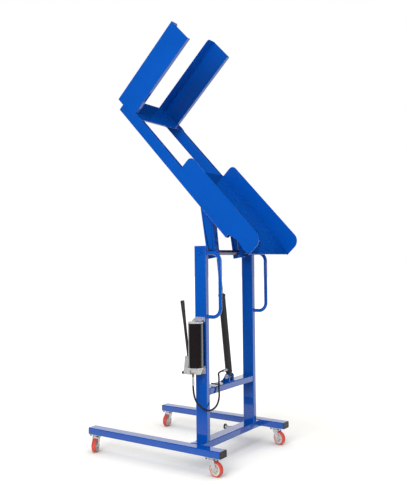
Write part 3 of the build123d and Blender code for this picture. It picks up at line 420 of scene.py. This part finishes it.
EVEN_GRAIN = (1, 1, 1)
FINISHES = {
    "blue_paint": powder_coat(
        "blue_paint",
        colour=(0.0012, 0.098, 0.53),
        edge_highlight_colour=(0.04, 0.2, 0.7),
        roughness=0.24,
        specular=0.1,
        coat=1.0,
        coat_ior=1.7,
    ),
    "black_paint": powder_coat(
        "black_paint",
        colour=(0.016, 0.0125, 0.0135),
        edge_highlight_colour=(0.03, 0.03, 0.033),
        roughness=0.14,
        specular=0.4,
        coat=0.7,
        coat_ior=1.6,
    ),
    "satin_black": powder_coat(
        "satin_black",
        colour=(0.043, 0.043, 0.046),
        edge_highlight_colour=(0.09, 0.09, 0.095),
        roughness=0.42,
        specular=0.2,
        coat=0.1,
        coat_ior=1.5,
    ),
    "zinc_plate": plated(
        "zinc_plate",
        dark=(0.66, 0.67, 0.69),
        light=(0.88, 0.89, 0.9),
        roughness=0.34,
        grain=EVEN_GRAIN,
        depth=0.0001,
        metallic=0.45,
    ),
    # Dark, blue-tinted base colour: a painted reflection of the blue frame around the steel.
    "bright_steel": plated(
        "bright_steel",
        dark=(0.14, 0.14, 0.2),
        light=(0.24, 0.24, 0.3),
        roughness=0.36,
        grain=(6, 1, 6),
        depth=0.00006,
    ),
    "chrome_rod": plated(
        "chrome_rod",
        dark=(0.74, 0.75, 0.77),
        light=(0.84, 0.85, 0.86),
        roughness=0.13,
        grain=(1, 1, 9),
        depth=0.00002,
    ),
    "bush_bronze": plated(
        "bush_bronze",
        dark=(0.42, 0.27, 0.1),
        light=(0.6, 0.42, 0.2),
        roughness=0.35,
        grain=(1, 8, 1),
        depth=0.00006,
    ),
    "cast_alloy": plated(
        "cast_alloy",
        dark=(0.64, 0.64, 0.64),
        light=(0.86, 0.86, 0.86),
        roughness=0.38,
        grain=EVEN_GRAIN,
        depth=0.0003,
        metallic=0.35,
    ),
    "brass_fitting": plated(
        "brass_fitting",
        dark=(0.46, 0.37, 0.2),
        light=(0.66, 0.56, 0.34),
        roughness=0.32,
        grain=(1, 1, 4),
        depth=0.00005,
        metallic=0.7,
    ),
    "dark_steel": plated(
        "dark_steel",
        dark=(0.05, 0.05, 0.055),
        light=(0.12, 0.12, 0.13),
        roughness=0.42,
        grain=EVEN_GRAIN,
        depth=0.0001,
    ),
    "black_plastic": moulded(
        "black_plastic",
        dark=(0.018, 0.018, 0.02),
        light=(0.04, 0.04, 0.043),
        roughness=0.46,
        pore=900.0,
        depth=0.0001,
    ),
    "black_rubber": moulded(
        "black_rubber",
        dark=(0.012, 0.012, 0.012),
        light=(0.03, 0.03, 0.03),
        roughness=0.68,
        pore=500.0,
        depth=0.00025,
    ),
    "pale_plastic": moulded(
        "pale_plastic",
        dark=(0.72, 0.69, 0.63),
        light=(0.84, 0.82, 0.78),
        roughness=0.38,
        pore=700.0,
        depth=0.0001,
    ),
    "red_tyre": moulded(
        "red_tyre",
        dark=(0.72, 0.075, 0.05),
        light=(0.84, 0.12, 0.085),
        roughness=0.42,
        pore=600.0,
        depth=0.00015,
    ),
    "hose_rubber": wrapped_rubber("hose_rubber", dark=(0.006, 0.006, 0.007), light=(0.02, 0.02, 0.022)),
}


# CAD pieces
def finish_cad_pieces():
    for subpart in frame["record"]["subparts"]:
        mesh = NODES[subpart["node"]].data
        mesh.materials.clear()
        mesh.materials.append(FINISHES[subpart["material_slot"]])


def round_cad_edges():
    for radius, names in EDGE_RADII.items():
        for name in names:
            joined = NODES[name].modifiers.new("joined_faces", "WELD")
            joined.merge_threshold = SEAM_GAP * MM
            rounding = NODES[name].modifiers.new("rounded_edges", "BEVEL")
            rounding.width = radius * MM
            rounding.segments = 2
            rounding.limit_method = "ANGLE"
            rounding.angle_limit = EDGE_ANGLE
            rounding.harden_normals = True


# Pieces
def place_piece(name, data, body, slot):
    piece = bpy.data.objects.new(name, data)
    bpy.context.scene.collection.objects.link(piece)
    piece.data.materials.append(FINISHES[slot])
    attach(piece, body)
    return piece


def make_hose():
    curve = bpy.data.curves.new("hose_cover", "CURVE")
    curve.dimensions = "3D"
    curve.bevel_depth = HOSE_RADIUS
    curve.bevel_resolution = 8
    curve.use_fill_caps = True
    curve.resolution_u = 24
    spline = curve.splines.new("NURBS")
    spline.points.add(len(HOSE_POINTS) - 1)
    for point, place in zip(spline.points, HOSE_POINTS):
        point.co = (*place, 1.0)
    spline.order_u = 3
    spline.use_endpoint_u = True
    hose = place_piece("hose_cover", curve, "stand", "hose_rubber")
    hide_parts("hydraulic_hose")


# Solids of the small fittings
def add_tube(solid, rings, closed):
    """Adds faces between rings of points. An open row of rings gets an end face at each end."""
    following = rings[1:] + rings[:1] if closed else rings[1:]
    sides = len(rings[0])
    for low, high in zip(rings, following):
        for step in range(sides):
            after = (step + 1) % sides
            solid.faces.new((low[step], low[after], high[after], high[step]))
    if not closed:
        solid.faces.new(rings[0][::-1])
        solid.faces.new(rings[-1])


def add_turned(solid, base, axis, outline, sides=32, hollow=False, flute=0.0):
    """Adds an outline turned about an axis. A hollow one closes on itself round a hole."""
    first = axis.orthogonal().normalized()
    second = axis.cross(first)
    rings = []
    for distance, radius in outline:
        ring = []
        for step in range(sides):
            angle = 2.0 * math.pi * step / sides
            spoke = first * math.cos(angle) + second * math.sin(angle)
            reach = radius * (1.0 - flute * (step % 2))
            ring.append(solid.verts.new(base + (axis * distance + spoke * reach) * MM))
        rings.append(ring)
    add_tube(solid, rings, closed=hollow)


def add_block(solid, centre, half_a, half_b, half_c, narrowing):
    """Adds a block from three half-axes, narrowed towards the end of the third."""
    rings = []
    for end, share in ((-1.0, 1.0), (1.0, narrowing)):
        ring = []
        for side_a, side_b in ((-1, -1), (1, -1), (1, 1), (-1, 1)):
            corner = centre + half_a * side_a * share + half_b * side_b * share + half_c * end
            ring.append(solid.verts.new(corner))
        rings.append(ring)
    add_tube(solid, rings, closed=False)


def finished(name, solid, body, slot):
    bmesh.ops.recalc_face_normals(solid, faces=solid.faces)
    data = bpy.data.meshes.new(name)
    solid.to_mesh(data)
    solid.free()
    data.shade_smooth()
    data.set_sharp_from_angle(angle=SHARP_ANGLE)
    return place_piece(name, data, body, slot)


# Weld beads
def straight(start, stop):
    """Closely set points along a line."""
    count = max(3, round((stop - start).length / BEAD_STEP))
    return [start.lerp(stop, index / count) for index in range(count + 1)]


def round_loop(centre, half_a, half_b, corner):
    """Closely set points round a rectangle with rounded corners."""
    unit_a = half_a.normalized()
    unit_b = half_b.normalized()
    inner_a = half_a - unit_a * corner
    inner_b = half_b - unit_b * corner
    steps = max(2, round(0.5 * math.pi * corner / BEAD_STEP))
    bends = []
    for quarter, (side_a, side_b) in enumerate(((1, 1), (-1, 1), (-1, -1), (1, -1))):
        hub = centre + inner_a * side_a + inner_b * side_b
        for step in range(steps + 1):
            angle = 0.5 * math.pi * (quarter + step / steps)
            bends.append(hub + (unit_a * math.cos(angle) + unit_b * math.sin(angle)) * corner)
    points = []
    for point, following in zip(bends, bends[1:] + bends[:1]):
        gap = (following - point).length
        parts = round(gap / BEAD_STEP) if gap > BEAD_STEP else int(gap > BEAD_LEAST_STEP)
        points.extend(point.lerp(following, part / parts) for part in range(parts))
    return points


def add_bead(solid, points, up, closed, radius):
    """Adds a rippled bead along points in the plane at right angles to up."""
    count = len(points)
    rings = []
    for index, point in enumerate(points):
        before = points[index - 1] if closed or index else point
        after = points[(index + 1) % count] if closed or index + 1 < count else point
        side = (after - before).normalized().cross(up)
        swell = radius * MM * (1.0 + BEAD_RIPPLE * math.cos(index * BEAD_TURN))
        if not closed and index in (0, count - 1):
            swell *= BEAD_END
        ring = []
        for step in range(BEAD_SIDES):
            angle = 2.0 * math.pi * step / BEAD_SIDES
            ring.append(solid.verts.new(point + (side * math.cos(angle) + up * math.sin(angle)) * swell))
        rings.append(ring)
    add_tube(solid, rings, closed)


def add_loops(solid, loops):
    """Adds a closed bead for each centre, two half-axes, corner radius and direction."""
    for centre, half_a, half_b, corner, up in loops:
        add_bead(solid, round_loop(centre, half_a, half_b, corner * MM), up, True, BEAD_RADIUS)


def make_stand_welds():
    beads = bmesh.new()
    half_wide = at(TUBE_HALF_WIDE, 0, 0)
    for side in SIDES:
        upright_foot = at(TUBE_X, side * UPRIGHT_Y, LEG_TOP)
        base_beam_end = at(TUBE_X, side * LEG_INNER_Y, LEG_MID_Z)
        mid_beam_end = at(TUBE_X, side * UPRIGHT_INNER_Y, MID_BEAM_MID_Z)
        buffer_root = at(TUBE_BACK, side * BUFFER_Y, LEG_MID_Z)
        loops = [
            (upright_foot, half_wide, at(0, UPRIGHT_HALF_THIN, 0), TUBE_CORNER, Z_AXIS),
            (base_beam_end, half_wide, at(0, 0, LEG_HALF_HEIGHT), TUBE_CORNER, Y_AXIS),
            (mid_beam_end, half_wide, at(0, 0, MID_BEAM_HALF_HEIGHT), TUBE_CORNER, Y_AXIS),
        ]
        rounds = [(at(TUBE_FRONT, side * UPRIGHT_Y, z), HANDLE_RADIUS) for z in HANDLE_ENDS_Z]
        rounds.append((buffer_root, BUFFER_BOSS_RADIUS))
        for centre, radius in rounds:
            loops.append((centre, at(0, radius, 0), at(0, 0, radius), radius, X_AXIS))
        add_loops(beads, loops)
        start, stop = (at(x, side * RAM_EAR_OUTER_Y, RAM_PLATE_TOP) for x in RAM_EAR_ENDS_X)
        add_bead(beads, straight(start, stop), Z_AXIS, False, BEAD_RADIUS)
    plate_half_x = at(RAM_PLATE_HALF_X, 0, 0)
    plate_half_y = at(0, RAM_PLATE_HALF_Y, 0)
    add_loops(beads, [(at(0, 0, MID_BEAM_TOP), plate_half_x, plate_half_y, RAM_PLATE_CORNER, Z_AXIS)])
    finished("weld_beads_stand", beads, "stand", "blue_paint")


def make_cradle_welds():
    beads = bmesh.new()
    shaft_half_x = offset(X_AXIS, SHAFT_RADIUS)
    shaft_half_z = offset(Z_AXIS, SHAFT_RADIUS)
    arm_half_y = offset(Y_AXIS, ARM_HALF_THIN)
    for side in SIDES:
        arm_seat = cradle_point(ARM_SEAT, side * ARM_Y, RAIL_BACK)
        cross_end = cradle_point(CROSS_TUBE, side * RAIL_INNER_Y, RAIL_BACK + CROSS_TUBE_HALF_DEEP)
        cross_half_along = offset(ALONG, CROSS_TUBE_HALF_LONG)
        cross_half_out = offset(OUT, CROSS_TUBE_HALF_DEEP)
        foot_end = cradle_point(FOOT_TUBE, side * RAIL_INNER_Y, RAIL_BACK + FOOT_TUBE_HALF_DEEP)
        foot_half_along = offset(ALONG, FOOT_TUBE_HALF_LONG)
        foot_half_out = offset(OUT, FOOT_TUBE_HALF_DEEP)
        loops = []
        for arm_face in (ARM_Y - ARM_HALF_THIN, ARM_Y + ARM_HALF_THIN):
            shaft_at_face = cradle_point(0, side * arm_face, 0)
            loops.append((shaft_at_face, shaft_half_x, shaft_half_z, SHAFT_RADIUS, Y_AXIS))
        loops += [
            (arm_seat, offset(ALONG, ARM_SEAT_HALF), arm_half_y, ARM_SEAT_CORNER, OUT),
            (cross_end, cross_half_along, cross_half_out, TUBE_CORNER, Y_AXIS),
            (foot_end, foot_half_along, foot_half_out, TUBE_CORNER, Y_AXIS),
        ]
        add_loops(beads, loops)
        runs = [CHANNEL_BEAD, LUG_BEAD]
        for starts, length, across, out in CRADLE_STITCHES:
            runs += [(start, start + length, across, out) for start in starts]
        for start, stop, across, out in runs:
            run = straight(cradle_point(start, side * across, out), cradle_point(stop, side * across, out))
            add_bead(beads, run, Y_AXIS, False, SHEET_BEAD_RADIUS)
        start, stop = (cradle_point(PLATE_EDGE, side * y, PLATE_EDGE_OUT) for y in PLATE_EDGE_ENDS_Y)
        add_bead(beads, straight(start, stop), OUT, False, SHEET_BEAD_RADIUS)
    finished("weld_beads_cradle", beads, "cradle", "blue_paint")


# Fittings
def make_crimps(name, body, base, axis, starts):
    """Pressed bands round a hose ferrule."""
    crimps = bmesh.new()
    for start in starts:
        add_turned(crimps, base + axis * start * MM, axis, CRIMP_BAND, sides=40, hollow=True)
    finished(name, crimps, body, "zinc_plate")


def make_pump_fittings():
    bolts = bmesh.new()
    for x, z in PUMP_BRACKET_BOLTS:
        base = at(x, PUMP_BRACKET_FACE_Y, z)
        add_turned(bolts, base, -Y_AXIS, BOLT_WASHER)
        add_turned(bolts, base, -Y_AXIS, BOLT_HEAD, sides=6)
    finished("bracket_bolts", bolts, "stand", "zinc_plate")

    gaskets = bmesh.new()
    for z in GASKETS_Z:
        add_turned(gaskets, at(TANK_X, TANK_Y, z), Z_AXIS, GASKET, sides=96, hollow=True)
    finished("tank_gaskets", gaskets, "stand", "black_rubber")

    grip = bmesh.new()
    add_turned(grip, at(*KNOB_FACE), -X_AXIS, KNOB_GRIP, sides=36, flute=KNOB_FLUTE)
    finished("release_knob_grip", grip, "release_valve", "black_plastic")

    make_crimps("pump_ferrule_crimps", "stand", HOSE_START, Z_AXIS, PUMP_CRIMPS)
    make_crimps("port_ferrule_crimps", "ram_barrel", HOSE_END, Y_AXIS, PORT_CRIMPS)


def make_ram_fittings():
    wiper = bmesh.new()
    wiper_base = RAM_FOOT + offset(RAM_LINE, WIPER_AT)
    add_turned(wiper, wiper_base, RAM_LINE, WIPER_LIP, sides=48, hollow=True)
    finished("rod_wiper", wiper, "ram_barrel", "black_rubber")

    seam = bmesh.new()
    first = offset(RAM_LINE.orthogonal().normalized(), BASE_WELD_RADIUS)
    second = RAM_LINE.cross(first)
    seam_centre = RAM_FOOT + offset(RAM_LINE, BASE_WELD_AT)
    loop = round_loop(seam_centre, first, second, BASE_WELD_RADIUS * MM)
    add_bead(seam, loop, RAM_LINE, True, SHEET_BEAD_RADIUS)
    finished("ram_base_weld", seam, "ram_barrel", "satin_black")


def make_buffer_studs():
    studs = bmesh.new()
    thread = []
    for turn in range(THREAD_TURNS):
        root = THREAD_START + THREAD_PITCH * turn
        thread += [(root, THREAD_ROOT), (root + THREAD_FLANK, THREAD_CREST)]
    for side in SIDES:
        base = at(BUFFER_STUD_X, side * BUFFER_Y, LEG_MID_Z)
        add_turned(studs, base, X_AXIS, STUD_COLLAR)
        add_turned(studs, base, X_AXIS, thread, sides=24)
    finished("buffer_stud_threads", studs, "stand", "zinc_plate")


def make_castor_details(name, kingpin_x, kingpin_y, swivel):
    """A dust ring round the swivel, and bearings and ribs in the wheel."""
    dust = bmesh.new()
    add_turned(dust, at(kingpin_x, kingpin_y, DUST_RING_Z), Z_AXIS, DUST_RING, sides=48, hollow=True)
    finished(f"castor_dust_ring_{name}", dust, f"castor_{name}", "zinc_plate")

    ahead = Vector((math.cos(swivel), math.sin(swivel), 0.0))
    across = Vector((math.sin(swivel), -math.cos(swivel), 0.0))
    axle = at(kingpin_x, kingpin_y, AXLE_HEIGHT) + ahead * CASTOR_TRAIL * MM
    ribs = bmesh.new()
    for rib in range(WHEEL_RIBS):
        angle = 2.0 * math.pi * rib / WHEEL_RIBS
        spoke = ahead * math.cos(angle) + Z_AXIS * math.sin(angle)
        half_long = offset(spoke, RIB_HALF_LONG)
        half_thick = offset(across.cross(spoke), RIB_HALF_THICK)
        for side in SIDES:
            centre = axle + (spoke * RIB_MIDDLE + across * side * RIB_SIDE) * MM
            half_deep = offset(across * side, RIB_HALF_DEEP)
            add_block(ribs, centre, half_long, half_thick, half_deep, RIB_NARROWING)
    for side in SIDES:
        add_turned(ribs, axle, across * side, WHEEL_BEARING, sides=40, hollow=True)
    finished(f"wheel_ribs_{name}", ribs, f"wheel_{name}", "pale_plastic")


# Studio
def make_camera():
    forward = Vector(
        (
            math.cos(CAMERA_PITCH) * math.cos(CAMERA_YAW),
            math.cos(CAMERA_PITCH) * math.sin(CAMERA_YAW),
            math.sin(CAMERA_PITCH),
        )
    )
    level_right = Vector((math.sin(CAMERA_YAW), -math.cos(CAMERA_YAW), 0.0))
    level_up = level_right.cross(forward)
    right = level_right * math.cos(CAMERA_ROLL) + level_up * math.sin(CAMERA_ROLL)
    up = level_up * math.cos(CAMERA_ROLL) - level_right * math.sin(CAMERA_ROLL)
    data = bpy.data.cameras.new("camera")
    data.sensor_fit = "VERTICAL"
    data.sensor_height = FILM_HEIGHT
    data.lens = CAMERA_LENS
    data.clip_end = CAMERA_REACH
    camera = bpy.data.objects.new("camera", data)
    turn = Matrix((right, up, -forward)).transposed().to_4x4()
    camera.matrix_world = Matrix.Translation(CAMERA_PLACE) @ turn
    bpy.context.scene.collection.objects.link(camera)
    bpy.context.scene.camera = camera


def make_world():
    """White backdrop and an even fill light. Reflections see the backdrop low on the far side."""
    world = bpy.data.worlds.new("studio")
    bpy.context.scene.world = world
    world.use_nodes = True
    tree = world.node_tree
    background = tree.nodes["Background"]
    background.inputs["Color"].default_value = WHITE
    direction = tree.nodes.new("ShaderNodeTexCoord").outputs["Generated"]
    path = tree.nodes.new("ShaderNodeLightPath").outputs
    far_side = spread(tree, dot_product(tree, direction, ACROSS), low=0.02, high=1.0, start=0.1, stop=0.6)
    height = dot_product(tree, direction, BACKDROP_SLANT)
    low_down = spread(tree, height, low=1.0, high=0.0, start=0.2, stop=0.28)
    mirrored = combined(tree, "MULTIPLY", far_side, low_down)
    reflected = combined(tree, "MULTIPLY", path["Is Glossy Ray"], mirrored)
    direct = combined(tree, "MAXIMUM", path["Is Camera Ray"], path["Is Transmission Ray"])
    seen = combined(tree, "MAXIMUM", direct, reflected)
    fill = spread(tree, path["Is Diffuse Ray"], low=0.0, high=FILL_LIGHT, start=0.0, stop=1.0)
    tree.links.new(combined(tree, "MAXIMUM", seen, fill), background.inputs["Strength"])


def floor_colour(tree, place, path):
    """Pale grey, but dark to reflections on the near side and the right."""
    near_side = spread(tree, dot_product(tree, place, ACROSS), low=1.0, high=0.0, start=-1.8, stop=-0.7)
    right_side = spread(tree, dot_product(tree, place, FLOOR_SLANT), low=1.0, high=0.0, start=-2.0, stop=-0.6)
    aside = combined(tree, "MAXIMUM", near_side, right_side)
    unlit = combined(tree, "MULTIPLY", path["Is Glossy Ray"], aside)
    tone = spread(tree, noise(tree, place, scale=2.0), low=0.0, high=1.0)
    pale = mixed(tree, tone, (0.80, 0.79, 0.755), (0.83, 0.82, 0.785))
    return mixed(tree, unlit, pale, (0.05, 0.05, 0.05))


def floor_glow(tree, place, path):
    """Glow towards the camera, and in reflections on the far side.

    It grows with the distance from the object, and a painted shadow darkens it where the object covers the
    floor.
    """
    behind = spread(tree, dot_product(tree, place, ACROSS), low=0.0, high=1.0, start=-1.5, stop=0.3)
    leftward = spread(tree, dot_product(tree, place, FLOOR_SLANT), low=0.0, high=1.0, start=-0.6, stop=0.2)
    far_side = combined(tree, "MINIMUM", behind, leftward)
    mirrored = combined(tree, "MULTIPLY", path["Is Glossy Ray"], far_side)
    direct = combined(tree, "MAXIMUM", path["Is Camera Ray"], path["Is Transmission Ray"])
    seen = combined(tree, "MAXIMUM", direct, mirrored)
    distance = tree.nodes.new("ShaderNodeVectorMath")
    distance.operation = "LENGTH"
    tree.links.new(place, distance.inputs[0])
    glow = spread(tree, distance.outputs["Value"], low=0.5, high=0.95, start=1.0, stop=3.0)
    # Ambient occlusion darkens the glow: a painted shadow under and near the object.
    cover = tree.nodes.new("ShaderNodeAmbientOcclusion")
    cover.samples = 16
    cover.inputs["Distance"].default_value = 0.5
    shade = spread(tree, cover.outputs["AO"], low=0.0, high=1.0, start=0.35, stop=0.9)
    shaded = combined(tree, "MULTIPLY", glow, shade)
    return combined(tree, "MULTIPLY", seen, shaded)


def make_floor():
    """Pale floor that keeps the object's shadow, cast by the lamps and partly painted, and fades into the
    backdrop.
    """
    quarters = [(-1, -1), (1, -1), (1, 1), (-1, 1)]
    corners = [(x * FLOOR_HALF_SIDE, y * FLOOR_HALF_SIDE, 0.0) for x, y in quarters]
    mesh = bpy.data.meshes.new("floor")
    mesh.from_pydata(corners, [], [(0, 1, 2, 3)])
    floor = bpy.data.objects.new("floor", mesh)
    bpy.context.scene.collection.objects.link(floor)
    material, tree, shader, place = new_material("pale_floor")
    path = tree.nodes.new("ShaderNodeLightPath").outputs
    shader.inputs["Roughness"].default_value = 0.75
    shader.inputs["Specular IOR Level"].default_value = 0.2
    shader.inputs["Emission Color"].default_value = (1.0, 0.995, 0.97, 1.0)
    tree.links.new(floor_colour(tree, place, path), shader.inputs["Base Color"])
    tree.links.new(floor_glow(tree, place, path), shader.inputs["Emission Strength"])
    mesh.materials.append(material)


def make_lamp(name, place, size, power, mirrored):
    """A square lamp aimed at the object, which reflections may or may not see."""
    data = bpy.data.lights.new(name, "AREA")
    data.shape = "SQUARE"
    data.size = size
    data.energy = power
    lamp = bpy.data.objects.new(name, data)
    lamp.location = place
    lamp.rotation_euler = (LAMP_TARGET - Vector(place)).to_track_quat("-Z", "Y").to_euler()
    lamp.visible_glossy = mirrored
    bpy.context.scene.collection.objects.link(lamp)


finish_cad_pieces()
round_cad_edges()
make_camera()
make_hose()
make_stand_welds()
make_cradle_welds()
make_pump_fittings()
make_ram_fittings()
make_buffer_studs()
for castor_name, castor_place in CASTORS.items():
    make_castor_details(castor_name, *castor_place)
make_world()
make_floor()
make_lamp("front_key", place=(0.6, -4.9, 3.6), size=3.0, power=200.0, mirrored=False)
make_lamp("right_fill", place=(4.6, -0.8, 2.6), size=3.0, power=54.0, mirrored=True)
make_lamp("overhead", place=(-0.3, 0.2, 5.5), size=4.0, power=14.0, mirrored=True)

settings = bpy.context.scene.view_settings
settings.view_transform = "Standard"
